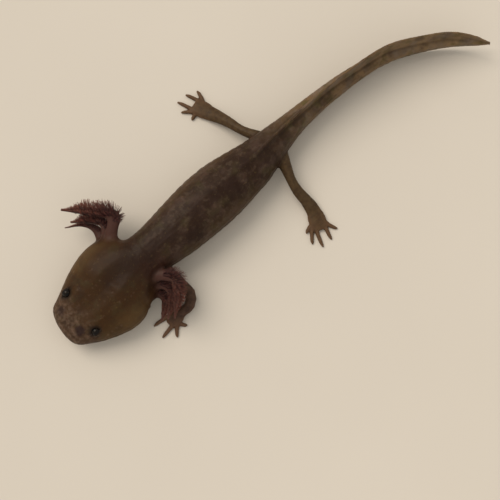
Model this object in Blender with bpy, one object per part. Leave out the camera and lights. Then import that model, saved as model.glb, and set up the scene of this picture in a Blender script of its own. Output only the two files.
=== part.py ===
"""A life-size axolotl as a still museum model: a slim young animal 149 mm long, on its belly and feet.

Every length below is in millimetres and becomes metres only where a mesh is made. The head points
along -Y, the animal's left side is +X, and the origin is the floor point under the middle of the
trunk. The body is one smooth form along a spine line, parted by thin cuts. The limbs, gills and fins
are set against it with the same gap.
"""

import math

import bpy
import bmesh
from mathutils import Vector

MM = 0.001
GAP = 0.3  # clear space between neighbouring solids
SKIN_COLOUR = (0.055, 0.038, 0.024)
FIN_COLOUR = (0.075, 0.060, 0.038)
GILL_COLOUR = (0.100, 0.030, 0.028)
EYE_COLOUR = (0.008, 0.006, 0.005)
UP = Vector((0.0, 0.0, 1.0))

# ---------------------------------------------------------------- the body's plan
# The spine seen from above, snout to tail tip: a straight trunk, the head turned a little left,
# and a tail that swings right and then sweeps round to the left.
SPINE_PLAN = [
    (3.6, -57.4),
    (3.9, -50.3),
    (3.6, -43.0),
    (2.4, -35.2),
    (2.2, -27.0),
    (1.8, -15.7),
    (0.9, -7.7),
    (0.1, 3.0),
    (-0.4, 12.8),
    (-1.5, 20.0),
    (-2.6, 29.0),
    (-3.1, 47.4),
    (-1.7, 60.6),
    (2.2, 71.4),
    (6.6, 79.2),
    (13.6, 87.4),
]

# Stations by distance behind the snout tip: half width, top, underside and level of greatest width.
BODY_STATIONS = [
    # s      half    top   under   wide
    (0.0, 5.9, 7.0, 3.5, 4.9),
    (3.0, 7.0, 8.2, 2.8, 5.0),
    (6.8, 9.0, 9.5, 2.5, 5.1),
    (10.5, 10.7, 10.6, 2.2, 5.2),
    (14.5, 11.9, 11.6, 2.0, 5.4),
    (19.0, 12.4, 12.5, 2.0, 5.8),
    (23.0, 11.9, 13.1, 2.3, 6.2),
    (26.0, 9.4, 13.3, 2.8, 6.6),
    (28.5, 7.0, 13.4, 3.1, 7.0),
    (31.5, 6.6, 13.5, 3.4, 7.3),
    (36.0, 7.0, 13.7, 3.6, 7.5),
    (42.0, 7.7, 13.9, 3.2, 7.3),
    (47.0, 8.1, 13.9, 1.7, 6.8),
    (52.0, 8.3, 13.8, 0.1, 6.4),
    (57.0, 8.3, 13.5, -0.3, 6.1),
    (63.0, 7.6, 12.9, -0.2, 5.9),
    (70.0, 6.4, 12.1, -0.1, 5.7),
    (77.0, 4.9, 11.2, 0.3, 5.6),
    (84.0, 3.7, 10.4, 0.9, 5.7),
    (91.0, 3.05, 9.8, 1.5, 5.7),
    (105.0, 2.4, 8.9, 2.5, 5.7),
    (118.0, 1.9, 8.0, 3.1, 5.6),
    (130.0, 1.5, 7.1, 3.6, 5.4),
    (140.0, 1.15, 6.3, 3.9, 5.1),
    (149.3, 0.5, 5.2, 4.4, 4.8),
]
SNOUT_ROUNDING = 3.4  # length over which the snout closes to its blunt tip
SNOUT_SQUARENESS = 2.7
# Each section is an oval whose power is 2 for an ellipse and more for a squarer form.
BACK_POWER, HEAD_TOP_POWER = 2.15, 2.4
BELLY_POWER, HEAD_UNDER_POWER = 2.25, 2.6
SQUARE_UNTIL, ROUND_FROM = 20.0, 30.0  # the head's squarer form fades out between these

# The parting planes across the body, named by the piece that ends there.
HEAD_END = 26.5
NECK_END = 38.0
CHEST_END = 54.0
BELLY_END = 70.0
HIPS_END = 84.0
TAIL_BASE_END = 104.0
TAIL_MIDDLE_END = 124.0
TAIL_SOLID_END = 143.0  # behind this the tail is one leaf-shaped blade

# Fin edges by distance behind the snout tip.
DORSAL_EDGE = [
    (30.0, 13.3),
    (38.0, 14.2),
    (50.0, 14.7),
    (62.0, 14.2),
    (74.0, 13.6),
    (84.0, 13.5),
    (94.0, 13.8),
    (106.0, 13.9),
    (118.0, 13.2),
    (130.0, 11.7),
    (139.0, 9.6),
    (145.0, 7.7),
    (149.3, 5.35),
]
VENTRAL_EDGE = [
    (83.0, 0.3),
    (88.0, -0.15),
    (100.0, -0.2),
    (114.0, -0.2),
    (124.0, -0.1),
    (133.0, 0.5),
    (141.0, 1.7),
    (146.0, 2.9),
    (149.3, 4.35),
]
FIN_START = 31.0
VENTRAL_START = 84.5
FIN_ROOT_HALF = 0.55
FIN_EDGE_HALF = 0.28
FIN_LEAST_HEIGHT = 0.5
FIN_BEND_SHARE = 0.45  # how far up the fin its side bends
FIN_STEP = 3.4
BLADE_STEP = 1.3
BLADE_EDGE_HALF = 0.25

# ---------------------------------------------------------------- head details
EYE_BEHIND_SNOUT = 7.45
EYE_OUT = 6.65
EYE_HEIGHT = 7.9
EYE_RADIUS = 1.35
NOSTRIL_BEHIND_SNOUT = 1.9
NOSTRIL_OUT = 4.1
NOSTRIL_HEIGHT = 7.0
NOSTRIL_RADIUS = 0.42
MOUTH_HEIGHT = 4.35
MOUTH_CORNER = 11.5
MOUTH_CORNER_RISE = 0.75
JAW_BEHIND_CORNER = 4.0  # how far the jaw's own form is drawn before it is cut
JAW_STEP, JAW_SLOPE = 0.6, 1.4  # how the jaw's block falls away behind the mouth's corner
LIP_STRAIGHT = 0.6  # the share of the mouth that is nearly level
LIP_RISE = 0.1
JAW_BLOCK_HALF = 16.0
BLOCK_MARGIN = 6.0  # how far a cutting block stands clear of the head
# Soft mounds on top of the head, over the eyes and the cheeks, and a dip between the eyes.
HEAD_MOUNDS = [  # height, distance behind the snout, distance out, reach
    (0.75, 7.65, 5.75, 2.3),
    (0.55, 17.0, 6.2, 4.2),
]
DIP_DEPTH, DIP_AT = 0.35, 12.0
DIP_LENGTH, DIP_WIDTH = 6.3, 2.24
RELIEF_END = 30.5

# ---------------------------------------------------------------- limbs
# Each limb runs from inside the body through its joints: x, y, z, half width, half thickness.
ARM_LEFT = [
    (3.5, -24.6, 6.6, 2.1, 2.0),
    (8.6, -24.9, 5.4, 1.75, 1.65),
    (13.6, -24.1, 4.0, 1.5, 1.45),
    (17.9, -24.0, 3.0, 1.6, 1.45),
    (19.7, -26.2, 2.1, 1.45, 1.15),
    (19.6, -28.8, 1.25, 1.35, 0.95),
    (19.8, -30.8, 0.75, 2.0, 0.85),
    (20.1, -32.6, 0.62, 1.7, 0.70),
]
ARM_RIGHT = [
    (-1.6, -23.8, 6.8, 2.0, 2.0),
    (-3.9, -21.2, 4.9, 1.65, 1.6),
    (-4.7, -17.8, 3.3, 1.3, 1.3),
    (-4.4, -14.5, 2.3, 1.25, 1.2),
    (-2.2, -14.9, 1.6, 1.2, 1.1),
    (-1.6, -17.8, 1.15, 1.2, 0.95),
    (-1.7, -20.4, 0.75, 1.9, 0.8),
    (-1.6, -22.2, 0.62, 1.7, 0.7),
]
LEG_LEFT = [
    (1.5, 20.2, 5.2, 2.3, 2.3),
    (5.6, 19.0, 4.8, 1.75, 1.75),
    (10.4, 17.7, 4.2, 1.35, 1.35),
    (13.4, 17.5, 3.2, 1.55, 1.35),
    (17.2, 17.9, 1.9, 1.75, 1.15),
    (20.2, 17.7, 1.0, 1.9, 0.85),
    (22.6, 17.0, 0.75, 2.35, 0.80),
    (24.6, 16.3, 0.62, 2.0, 0.70),
]
LEG_RIGHT = [
    (-3.0, 20.0, 5.2, 2.3, 2.3),
    (-6.6, 17.8, 4.8, 1.65, 1.75),
    (-10.8, 15.7, 4.2, 1.30, 1.35),
    (-14.2, 14.8, 3.2, 1.55, 1.35),
    (-18.0, 13.6, 1.9, 1.8, 1.15),
    (-20.6, 12.5, 1.0, 1.95, 0.85),
    (-22.8, 11.6, 0.75, 2.35, 0.80),
    (-24.8, 10.8, 0.62, 2.0, 0.70),
]
# Digit tips on the floor, innermost digit first.
FINGERS_LEFT = [(17.9, -36.9), (21.9, -37.0), (24.2, -33.8), (23.3, -29.8)]
FINGERS_RIGHT = [(1.9, -25.6), (-0.6, -27.0), (-3.0, -26.4), (-4.6, -23.6)]
TOES_LEFT = [(23.6, 12.4), (27.0, 11.8), (29.4, 13.6), (29.2, 16.8), (27.8, 19.9)]
TOES_RIGHT = [(-22.4, 7.4), (-26.0, 6.4), (-29.0, 7.4), (-29.3, 10.6), (-28.2, 13.8)]
KNEE_JOINT, ANKLE_JOINT = 3, 5  # counted along each limb's list
LIMB_SIDES = 10
UPPER_STEP, LOWER_STEP, PALM_STEP = 1.9, 1.7, 0.9
PALM_END = 0.7  # how far the rounded end of the palm stands out
PALM_END_SHARE = 0.6  # and its size beside the palm's
DIGIT_REACH_BACK = 0.8  # the digits start this far inside the palm
DIGIT_SPREAD_SHARE = 0.85
# The share of a digit's length and its half width there.
DIGIT_HALVES = [(0.0, 0.58), (0.4, 0.433), (0.82, 0.319), (1.0, 0.075)]
DIGIT_SIDES = 6
DIGIT_BEND = 0.25  # how far a digit bows sideways
DIGIT_LEVEL = 0.34
DIGIT_ROOT_LIFT = 0.12

# ---------------------------------------------------------------- gills
# Each gill stalk by its bends; the fringe runs along its outer, hinder side.
GILLS_RIGHT = {
    "upper": [
        (-6.0, -32.4, 9.0),
        (-9.2, -29.5, 10.2),
        (-11.0, -27.2, 10.8),
        (-14.0, -30.4, 10.6),
        (-21.6, -37.6, 9.5),
    ],
    "middle": [
        (-6.9, -33.7, 7.0),
        (-9.7, -31.4, 7.9),
        (-11.5, -30.5, 8.2),
        (-13.6, -32.3, 8.1),
        (-17.8, -37.6, 7.4),
    ],
    "lower": [
        (-8.2, -34.6, 5.0),
        (-10.9, -33.2, 5.4),
        (-12.8, -33.3, 5.6),
        (-15.3, -35.2, 5.5),
        (-18.3, -39.8, 5.0),
    ],
}
GILLS_LEFT = {
    "upper": [
        (7.6, -31.0, 9.0),
        (9.8, -26.6, 10.2),
        (12.6, -25.0, 10.8),
        (16.0, -27.6, 10.6),
        (20.8, -31.4, 9.4),
    ],
    "middle": [
        (9.0, -32.2, 7.0),
        (11.0, -28.6, 7.8),
        (13.4, -27.6, 8.2),
        (15.9, -29.6, 8.0),
        (19.5, -32.9, 7.3),
    ],
    "lower": [
        (10.4, -33.6, 5.0),
        (11.8, -30.8, 5.6),
        (13.8, -30.0, 5.8),
        (15.8, -31.9, 5.7),
        (18.7, -34.6, 5.2),
    ],
}
STALK_ROOT_HALF = 1.25
STALK_TIP_HALF = 0.32
STALK_TAPER = 0.6
BARE_VANE = 1.25  # where a stalk is bare, its vanes reach this many half widths
FACING_SHARE = 0.7  # the vanes' facing sides keep within this share of the space between them
VALLEY_HALF, VALLEY_SHARE = 0.9, 0.35  # how far out the space between the vanes starts
FRINGE_START = 0.3  # the share of a stalk that is bare
# The longest filaments. The right lower gill has lost most of its own.
FRINGES_RIGHT = {"upper": 3.9, "middle": 3.3, "lower": 1.0}
FRINGES_LEFT = {"upper": 3.0, "middle": 2.8, "lower": 2.2}
FRINGE_HALF = 0.26
FRINGE_TILT = math.radians(14)  # the two rows of filaments open by this much each way
FRINGE_TEETH = 7
NOTCH_SHARE = 0.72  # a notch between two teeth beside the tooth before it


# ---------------------------------------------------------------- small tools
def hermite(knots, values, slopes, x):
    """The smooth curve through values at knots, read at x."""
    last = len(knots) - 2
    i = max(0, min(last, sum(1 for k in knots[1:-1] if k <= x)))
    h = knots[i + 1] - knots[i]
    t = max(0.0, min(1.0, (x - knots[i]) / h))
    a = (1 + 2 * t) * (1 - t) ** 2
    b = t * (1 - t) ** 2 * h
    c = t * t * (3 - 2 * t)
    d = t * t * (t - 1) * h
    return values[i] * a + slopes[i] * b + values[i + 1] * c + slopes[i + 1] * d


def smooth_slopes(knots, values):
    """Slopes at the knots, each the mean of its two neighbours weighted by their spacing."""
    rises = [(values[i + 1] - values[i]) / (knots[i + 1] - knots[i]) for i in range(len(knots) - 1)]
    slopes = [rises[0]]
    for i in range(1, len(rises)):
        before, after = knots[i] - knots[i - 1], knots[i + 1] - knots[i]
        slopes.append((rises[i - 1] * after + rises[i] * before) / (before + after))
    return slopes + [rises[-1]]


def profile(rows, column=1):
    """A function of the first column of rows that gives a smooth value of another column."""
    knots = [row[0] for row in rows]
    values = [row[column] for row in rows]
    slopes = smooth_slopes(knots, values)
    return lambda x: hermite(knots, values, slopes, x)


class Track:
    """A smooth line read by distance along it. Its points may carry sizes after x, y and z."""

    STEPS = 24

    def __init__(self, points):
        chords = [0.0]
        for a, b in zip(points, points[1:]):
            chords.append(chords[-1] + math.dist(a[:3], b[:3]))
        columns = []
        for column in zip(*points):
            columns.append((column, smooth_slopes(chords, column)))
        last = self.STEPS * (len(points) - 1)
        self.rows = []
        for i in range(last + 1):
            x = chords[-1] * i / last
            self.rows.append([hermite(chords, values, slopes, x) for values, slopes in columns])
        self.at = [0.0]
        for a, b in zip(self.rows, self.rows[1:]):
            self.at.append(self.at[-1] + math.dist(a[:3], b[:3]))
        self.length = self.at[-1]

    def row(self, distance):
        distance = max(0.0, min(self.length, distance))
        i = 0
        while i < len(self.at) - 2 and self.at[i + 1] < distance:
            i += 1
        t = (distance - self.at[i]) / (self.at[i + 1] - self.at[i])
        return [a + (b - a) * t for a, b in zip(self.rows[i], self.rows[i + 1])]

    def point(self, distance):
        return Vector(self.row(distance)[:3])

    def heading(self, distance):
        reach = 0.02 * self.length
        return (self.point(distance + reach) - self.point(distance - reach)).normalized()


def spread(start, end, step):
    """Evenly spaced values from start to end, about step apart."""
    count = max(1, round((end - start) / step))
    return [start + (end - start) * i / count for i in range(count + 1)]


# ---------------------------------------------------------------- the body's form
spine = Track([(x, y, 0.0) for x, y in SPINE_PLAN])
SCALE_TO_TRACK = spine.length / BODY_STATIONS[-1][0]
half_width_at = profile(BODY_STATIONS, 1)
top_at = profile(BODY_STATIONS, 2)
under_at = profile(BODY_STATIONS, 3)
wide_level_at = profile(BODY_STATIONS, 4)
dorsal_edge_at = profile(DORSAL_EDGE)
ventral_edge_at = profile(VENTRAL_EDGE)


def snout_closing(s):
    """0 at the snout tip, rising to 1 where the head has its full section."""
    if s >= SNOUT_ROUNDING:
        return 1.0
    n = SNOUT_SQUARENESS
    return (1 - (1 - max(s, 0.0) / SNOUT_ROUNDING) ** n) ** (1 / n)


def at_body(s, out, z):
    """The point beside the spine at s, out to the animal's left, at height z."""
    heading = spine.heading(s * SCALE_TO_TRACK)
    left = heading.cross(UP) * -1
    return spine.point(s * SCALE_TO_TRACK) + left * out + UP * z


def swell(s, out, centre_s, centre_out, reach):
    """A soft mound of height 1 over the point (centre_s, centre_out) and its mirror image."""
    away = ((s - centre_s) ** 2 + (abs(out) - centre_out) ** 2) / reach**2
    return math.exp(-away)


def head_relief(s, out):
    """How far the top of the head stands above its plain section: the mounds, less the dip."""
    mounds = sum(height * swell(s, out, at, away, reach) for height, at, away, reach in HEAD_MOUNDS)
    dip = DIP_DEPTH * math.exp(-(((s - DIP_AT) / DIP_LENGTH) ** 2) - (out / DIP_WIDTH) ** 2)
    return mounds - dip


def section_point(s, angle, grow=0.0):
    """A point on the body's surface, moved out by grow. Angle 0 is the left side."""
    closing = snout_closing(s)
    half = half_width_at(s) * closing + grow
    wide = wide_level_at(s)
    cos, sin = math.cos(angle), math.sin(angle)
    square = max(0.0, min(1.0, (ROUND_FROM - s) / (ROUND_FROM - SQUARE_UNTIL)))
    if sin >= 0:
        power = BACK_POWER + (HEAD_TOP_POWER - BACK_POWER) * square
    else:
        power = BELLY_POWER + (HEAD_UNDER_POWER - BELLY_POWER) * square
    out = half * math.copysign(abs(cos) ** (2 / power), cos)
    reach = (top_at(s) - wide if sin >= 0 else wide - under_at(s)) * closing + grow
    rise = reach * math.copysign(abs(sin) ** (2 / power), sin)
    if sin > 0 and s < RELIEF_END:
        rise += head_relief(s, out) * closing * sin
    return at_body(s, out, wide + rise)


# ---------------------------------------------------------------- mesh building
def new_object(name, bm, colour=None, roughness=0.45):
    """Turns a bmesh in millimetres into a smooth-shaded object in metres."""
    bmesh.ops.scale(bm, vec=(MM, MM, MM), verts=bm.verts)
    bmesh.ops.recalc_face_normals(bm, faces=bm.faces)
    mesh = bpy.data.meshes.new(name)
    bm.to_mesh(mesh)
    bm.free()
    mesh.shade_smooth()
    mesh.set_sharp_from_angle(angle=math.radians(50))
    obj = bpy.data.objects.new(name, mesh)
    bpy.context.scene.collection.objects.link(obj)
    if colour:
        mesh.materials.append(finish(name, colour, roughness))
    else:
        obj.hide_render = True
        obj.display_type = "WIRE"
    return obj


def finish(name, colour, roughness):
    material = bpy.data.materials.new(name + "_finish")
    material.use_nodes = True
    shader = material.node_tree.nodes["Principled BSDF"]
    shader.inputs["Base Color"].default_value = (*colour, 1.0)
    shader.inputs["Roughness"].default_value = roughness
    shader.inputs["Metallic"].default_value = 0.0
    return material


def loft(rings, name, colour=None):
    """A closed solid through rings of equal point counts, with flat ends."""
    bm = bmesh.new()
    made = [[bm.verts.new(p) for p in ring] for ring in rings]
    count = len(made[0])
    for a, b in zip(made, made[1:]):
        for i in range(count):
            j = (i + 1) % count
            bm.faces.new((a[i], a[j], b[j], b[i]))
    bm.faces.new(reversed(made[0]))
    bm.faces.new(made[-1])
    return new_object(name, bm, colour)


def cut(obj, operand, operation="DIFFERENCE"):
    """Adds a Boolean of obj with an object or with a collection of objects."""
    modifier = obj.modifiers.new(operation.lower(), "BOOLEAN")
    modifier.operation = operation
    modifier.solver = "EXACT"
    if isinstance(operand, bpy.types.Collection):
        modifier.operand_type = "COLLECTION"
        modifier.collection = operand
    else:
        modifier.object = operand


def body_piece(name, start, end, sides, step, colour=SKIN_COLOUR, grow=0.0):
    """The stretch of the body between two distances behind the snout."""
    stations = spread(start, end, step)
    if start <= 0:
        nose = [SNOUT_ROUNDING * (1 - math.cos(math.pi / 2 * i / 6)) for i in range(6)]
        stations = [0.02 + x for x in nose] + spread(SNOUT_ROUNDING, end, step)
    turn = 2 * math.pi / sides
    rings = [[section_point(s, turn * i, grow) for i in range(sides)] for s in stations]
    return loft(rings, name, colour)


def ball(name, centre, radius, colour=None):
    bm = bmesh.new()
    bmesh.ops.create_uvsphere(bm, u_segments=12, v_segments=8, radius=radius)
    bmesh.ops.translate(bm, vec=centre, verts=bm.verts)
    return new_object(name, bm, colour)


def box(name, low, high):
    bm = bmesh.new()
    bmesh.ops.create_cube(bm, size=1.0)
    size = Vector(high) - Vector(low)
    middle = (Vector(high) + Vector(low)) / 2
    bmesh.ops.scale(bm, vec=size, verts=bm.verts)
    bmesh.ops.translate(bm, vec=middle, verts=bm.verts)
    return new_object(name, bm)


# ---------------------------------------------------------------- head, neck, trunk and tail
def jaw_block(name, grow):
    """A block below the mouth line, seen from the side a wedge that rises to the mouth's corner."""
    back = MOUTH_CORNER + grow
    outline = [
        (-BLOCK_MARGIN, MOUTH_HEIGHT + grow),
        (MOUTH_CORNER * LIP_STRAIGHT, MOUTH_HEIGHT + LIP_RISE + grow),
        (back, MOUTH_HEIGHT + MOUTH_CORNER_RISE + grow),
        (back + JAW_STEP, MOUTH_HEIGHT - JAW_STEP),
        (back + JAW_SLOPE, -BLOCK_MARGIN),
        (-BLOCK_MARGIN, -BLOCK_MARGIN),
    ]
    heading = (at_body(1.0, 0.0, 0.0) - at_body(0.0, 0.0, 0.0)).normalized()
    left = heading.cross(UP) * -1
    bm = bmesh.new()
    sides = []
    for out in (-JAW_BLOCK_HALF, JAW_BLOCK_HALF):
        ring = []
        for s, z in outline:
            middle = at_body(max(s, 0.0), 0.0, z) + heading * min(s, 0.0)
            ring.append(bm.verts.new(middle + left * out))
        sides.append(ring)
    a, b = sides
    for i in range(len(outline)):
        j = (i + 1) % len(outline)
        bm.faces.new((a[i], a[j], b[j], b[i]))
    bm.faces.new(reversed(a))
    bm.faces.new(b)
    return new_object(name, bm)


def make_head():
    head = body_piece("head", 0.0, HEAD_END - GAP / 2, 28, 2.0)
    jaw = body_piece("lower_jaw", 0.0, MOUTH_CORNER + JAW_BEHIND_CORNER, 28, 2.0)
    cut(head, jaw_block("jaw_room", GAP))
    cut(jaw, jaw_block("jaw_limit", 0.0), "INTERSECT")
    for side, name in ((1, "left"), (-1, "right")):
        centre = at_body(EYE_BEHIND_SNOUT, side * EYE_OUT, EYE_HEIGHT)
        ball("eye_" + name, centre, EYE_RADIUS, EYE_COLOUR)
        cut(head, ball("eye_socket_" + name, centre, EYE_RADIUS + GAP))
        nostril = at_body(NOSTRIL_BEHIND_SNOUT, side * NOSTRIL_OUT, NOSTRIL_HEIGHT)
        cut(head, ball("nostril_" + name, nostril, NOSTRIL_RADIUS))
    return head, jaw


def fin_ring(s, root, edge):
    """A thin section from the body's midline at root to the fin's edge, both heights at s."""
    middle = root + (edge - root) * FIN_BEND_SHARE
    half_middle = (FIN_ROOT_HALF + FIN_EDGE_HALF) / 2
    return [
        at_body(s, FIN_ROOT_HALF, root),
        at_body(s, half_middle, middle),
        at_body(s, FIN_EDGE_HALF, edge),
        at_body(s, -FIN_EDGE_HALF, edge),
        at_body(s, -half_middle, middle),
        at_body(s, -FIN_ROOT_HALF, root),
    ]


def make_fin(name, start, end, dorsal):
    """A length of the dorsal or the ventral fin, standing a gap clear of the body's midline."""
    rings = []
    for s in spread(start, end, FIN_STEP):
        if dorsal:
            root = section_point(s, math.pi / 2).z + GAP
            edge = max(dorsal_edge_at(s), root + FIN_LEAST_HEIGHT)
        else:
            root = section_point(s, -math.pi / 2).z - GAP
            edge = min(ventral_edge_at(s), root - FIN_LEAST_HEIGHT)
        rings.append(fin_ring(s, root, edge))
    return loft(rings, name, FIN_COLOUR)


def make_tail_blade():
    """The last length of the tail, where muscle and fin are one leaf."""
    rings = []
    for s in spread(TAIL_SOLID_END + GAP / 2, BODY_STATIONS[-1][0], BLADE_STEP):
        top, low = dorsal_edge_at(s), ventral_edge_at(s)
        middle = wide_level_at(s)
        half = max(half_width_at(s), FIN_EDGE_HALF)
        rings.append(
            [
                at_body(s, half, middle),
                at_body(s, FIN_EDGE_HALF, (middle + top) / 2),
                at_body(s, BLADE_EDGE_HALF, top),
                at_body(s, -BLADE_EDGE_HALF, top),
                at_body(s, -FIN_EDGE_HALF, (middle + top) / 2),
                at_body(s, -half, middle),
                at_body(s, -FIN_EDGE_HALF, (middle + low) / 2),
                at_body(s, -BLADE_EDGE_HALF, low),
                at_body(s, BLADE_EDGE_HALF, low),
                at_body(s, FIN_EDGE_HALF, (middle + low) / 2),
            ]
        )
    return loft(rings, "tail_tip", FIN_COLOUR)


def make_body(floor):
    pieces = [
        ("neck", HEAD_END, NECK_END, 24, 2.3),
        ("chest", NECK_END, CHEST_END, 24, 3.0),
        ("belly", CHEST_END, BELLY_END, 24, 3.0),
        ("hips", BELLY_END, HIPS_END, 20, 3.0),
        ("tail_base", HIPS_END, TAIL_BASE_END, 16, 4.0),
        ("tail_middle", TAIL_BASE_END, TAIL_MIDDLE_END, 12, 4.2),
        ("tail_end", TAIL_MIDDLE_END, TAIL_SOLID_END, 12, 4.2),
    ]
    for name, start, end, sides, step in pieces:
        piece = body_piece(name, start + GAP / 2, end - GAP / 2, sides, step)
        if name in ("chest", "belly", "hips"):
            cut(piece, floor)
    fins = [
        ("dorsal_fin_trunk", FIN_START, BELLY_END - GAP / 2, True),
        ("dorsal_fin_hips", BELLY_END + GAP / 2, TAIL_BASE_END - GAP / 2, True),
        ("dorsal_fin_tail", TAIL_BASE_END + GAP / 2, TAIL_SOLID_END - GAP / 2, True),
        ("ventral_fin_front", VENTRAL_START, TAIL_BASE_END - GAP / 2, False),
        ("ventral_fin_rear", TAIL_BASE_END + GAP / 2, TAIL_SOLID_END - GAP / 2, False),
    ]
    for name, start, end, dorsal in fins:
        fin = make_fin(name, start, end, dorsal)
        if not dorsal:
            cut(fin, floor)
    make_tail_blade()


# ---------------------------------------------------------------- limbs
def tube_ring(track, distance, size=1.0):
    """An oval ring square to the track, its width held level."""
    row = track.row(distance)
    heading = track.heading(distance)
    wide = heading.cross(UP).normalized()
    thick = wide.cross(heading).normalized()
    turn = 2 * math.pi / LIMB_SIDES
    ring = []
    for i in range(LIMB_SIDES):
        across = wide * row[3] * math.cos(turn * i)
        rise = thick * row[4] * math.sin(turn * i)
        ring.append(Vector(row[:3]) + (across + rise) * size)
    return ring


def digit(name, root, tip):
    """A tapering toe with a round end, lying on the floor from root to tip."""
    start = Vector((root.x, root.y, DIGIT_LEVEL + DIGIT_ROOT_LIFT))
    end = Vector((tip[0], tip[1], DIGIT_LEVEL))
    along = (end - start).normalized()
    side = along.cross(UP).normalized()
    turn = 2 * math.pi / DIGIT_SIDES
    rings = []
    for share, half in DIGIT_HALVES:
        centre = start.lerp(end, share) + side * DIGIT_BEND * math.sin(math.pi * share)
        ring = []
        for i in range(DIGIT_SIDES):
            ring.append(centre + side * half * math.cos(turn * i) + UP * half * math.sin(turn * i))
        rings.append(ring)
    return loft(rings, name)


def make_limb(names, joints, tips, body_room, floor):
    """A limb in three lengths: upper, lower and foot, cut at the knee or elbow and at the ankle."""
    track = Track(joints)
    knee, ankle = [track.at[Track.STEPS * i] for i in (KNEE_JOINT, ANKLE_JOINT)]
    upper, lower, foot = names
    rings = [tube_ring(track, d) for d in spread(0.0, knee - GAP / 2, UPPER_STEP)]
    cut(loft(rings, upper, SKIN_COLOUR), body_room)
    rings = [tube_ring(track, d) for d in spread(knee + GAP / 2, ankle - GAP / 2, LOWER_STEP)]
    shank = loft(rings, lower, SKIN_COLOUR)
    cut(shank, body_room)
    cut(shank, floor)
    rings = [tube_ring(track, d) for d in spread(ankle + GAP / 2, track.length, PALM_STEP)]
    last = track.row(track.length)
    heading = track.heading(track.length)
    rings.append([p + heading * PALM_END for p in tube_ring(track, track.length, PALM_END_SHARE)])
    palm = loft(rings, foot, SKIN_COLOUR)
    digits = bpy.data.collections.new(foot + "_digits")
    bpy.context.scene.collection.children.link(digits)
    side = heading.cross(UP).normalized()
    middle = track.point(track.length - DIGIT_REACH_BACK)
    for i, tip in enumerate(tips):
        share = i / (len(tips) - 1) - 0.5
        reach = (Vector((tip[0], tip[1], 0.0)) - middle).dot(side)
        root = middle + side * math.copysign(min(abs(reach), last[3] * DIGIT_SPREAD_SHARE), reach)
        root -= heading * abs(share)
        toe = digit(f"{foot}_digit_{i + 1}", root, tip)
        bpy.context.scene.collection.objects.unlink(toe)
        digits.objects.link(toe)
    cut(palm, digits, "UNION")
    cut(palm, body_room)
    cut(palm, floor)


def make_limbs(body_room, floor):
    arm = ("arm_upper", "forearm", "hand")
    leg = ("thigh", "shin", "foot")
    makes = (
        (arm, "left", ARM_LEFT, FINGERS_LEFT),
        (arm, "right", ARM_RIGHT, FINGERS_RIGHT),
        (leg, "left", LEG_LEFT, TOES_LEFT),
        (leg, "right", LEG_RIGHT, TOES_RIGHT),
    )
    for names, side, joints, tips in makes:
        make_limb([f"{name}_{side}" for name in names], joints, tips, body_room, floor)


# ---------------------------------------------------------------- gills
def gill_ring(track, distance, side, fringe):
    """A stalk section with two thin vanes on its hinder side, each fringe long."""
    share = distance / track.length
    half = STALK_ROOT_HALF + (STALK_TIP_HALF - STALK_ROOT_HALF) * share**STALK_TAPER
    centre = track.point(distance)
    heading = track.heading(distance)
    back = UP.cross(heading).normalized() * side
    up = heading.cross(back).normalized() * side
    ring = []
    for degrees in (65, 120, 180, 240, 295):
        a = math.radians(degrees)
        ring.append(centre + back * half * math.cos(a) + up * half * math.sin(a))
    for tilt in (-FRINGE_TILT, FRINGE_TILT):
        vane = back * math.cos(tilt) + up * math.sin(tilt)
        across = up * math.cos(tilt) - back * math.sin(tilt)
        reach = max(fringe, half * BARE_VANE)
        tip = centre + vane * reach
        facing = min(FRINGE_HALF, FACING_SHARE * reach * math.sin(FRINGE_TILT))
        if tilt < 0:
            ring += [tip - across * FRINGE_HALF, tip + across * facing]
        else:
            ring += [tip - across * facing, tip + across * FRINGE_HALF]
        if tilt < 0:
            ring.append(centre + back * max(half * VALLEY_HALF, fringe * VALLEY_SHARE))
    return ring


def make_gill(name, points, side, longest, head_room):
    """One gill: a tapering stalk and its toothed fringe, full near the root and narrow at the tip."""
    track = Track(points)
    fringe_start = FRINGE_START * track.length
    stations = [(d, 0.0) for d in (0.0, fringe_start * 0.5, fringe_start)]
    stretch = (track.length - fringe_start) / FRINGE_TEETH
    for tooth in range(FRINGE_TEETH):
        share = (tooth + 0.5) / FRINGE_TEETH
        fullness = min(1.0, 0.5 + 2.2 * share) * (1 - 0.8 * share**2.2)
        here = fringe_start + stretch * (tooth + 0.5)
        stations.append((here, longest * fullness))
        stations.append((here + stretch * 0.5, longest * fullness * NOTCH_SHARE))
    stations[-1] = (track.length, STALK_TIP_HALF)
    rings = [gill_ring(track, d, side, fringe) for d, fringe in stations]
    cut(loft(rings, name, GILL_COLOUR), head_room)


def make_gills(head_room):
    makes = ((1, "left", GILLS_LEFT, FRINGES_LEFT), (-1, "right", GILLS_RIGHT, FRINGES_RIGHT))
    for side, name, gills, fringes in makes:
        for level, points in gills.items():
            make_gill(f"gill_{name}_{level}", points, side, fringes[level], head_room)


def main():
    for obj in list(bpy.data.objects):
        bpy.data.objects.remove(obj)
    floor = box("floor_limit", (-60.0, -80.0, -8.0), (60.0, 110.0, 0.0))
    body_room = body_piece("body_room", 24.0, 100.0, 32, 2.0, None, GAP)  # cuts the limbs clear
    head_room = body_piece("head_room", 15.0, 40.0, 32, 1.5, None, GAP)  # cuts the gills clear
    make_head()
    make_body(floor)
    make_limbs(body_room, floor)
    make_gills(head_room)


main()
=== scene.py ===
import math

import bmesh
import bpy
import numpy as np
from mathutils import Matrix, Vector, noise
from mathutils.bvhtree import BVHTree


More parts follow.
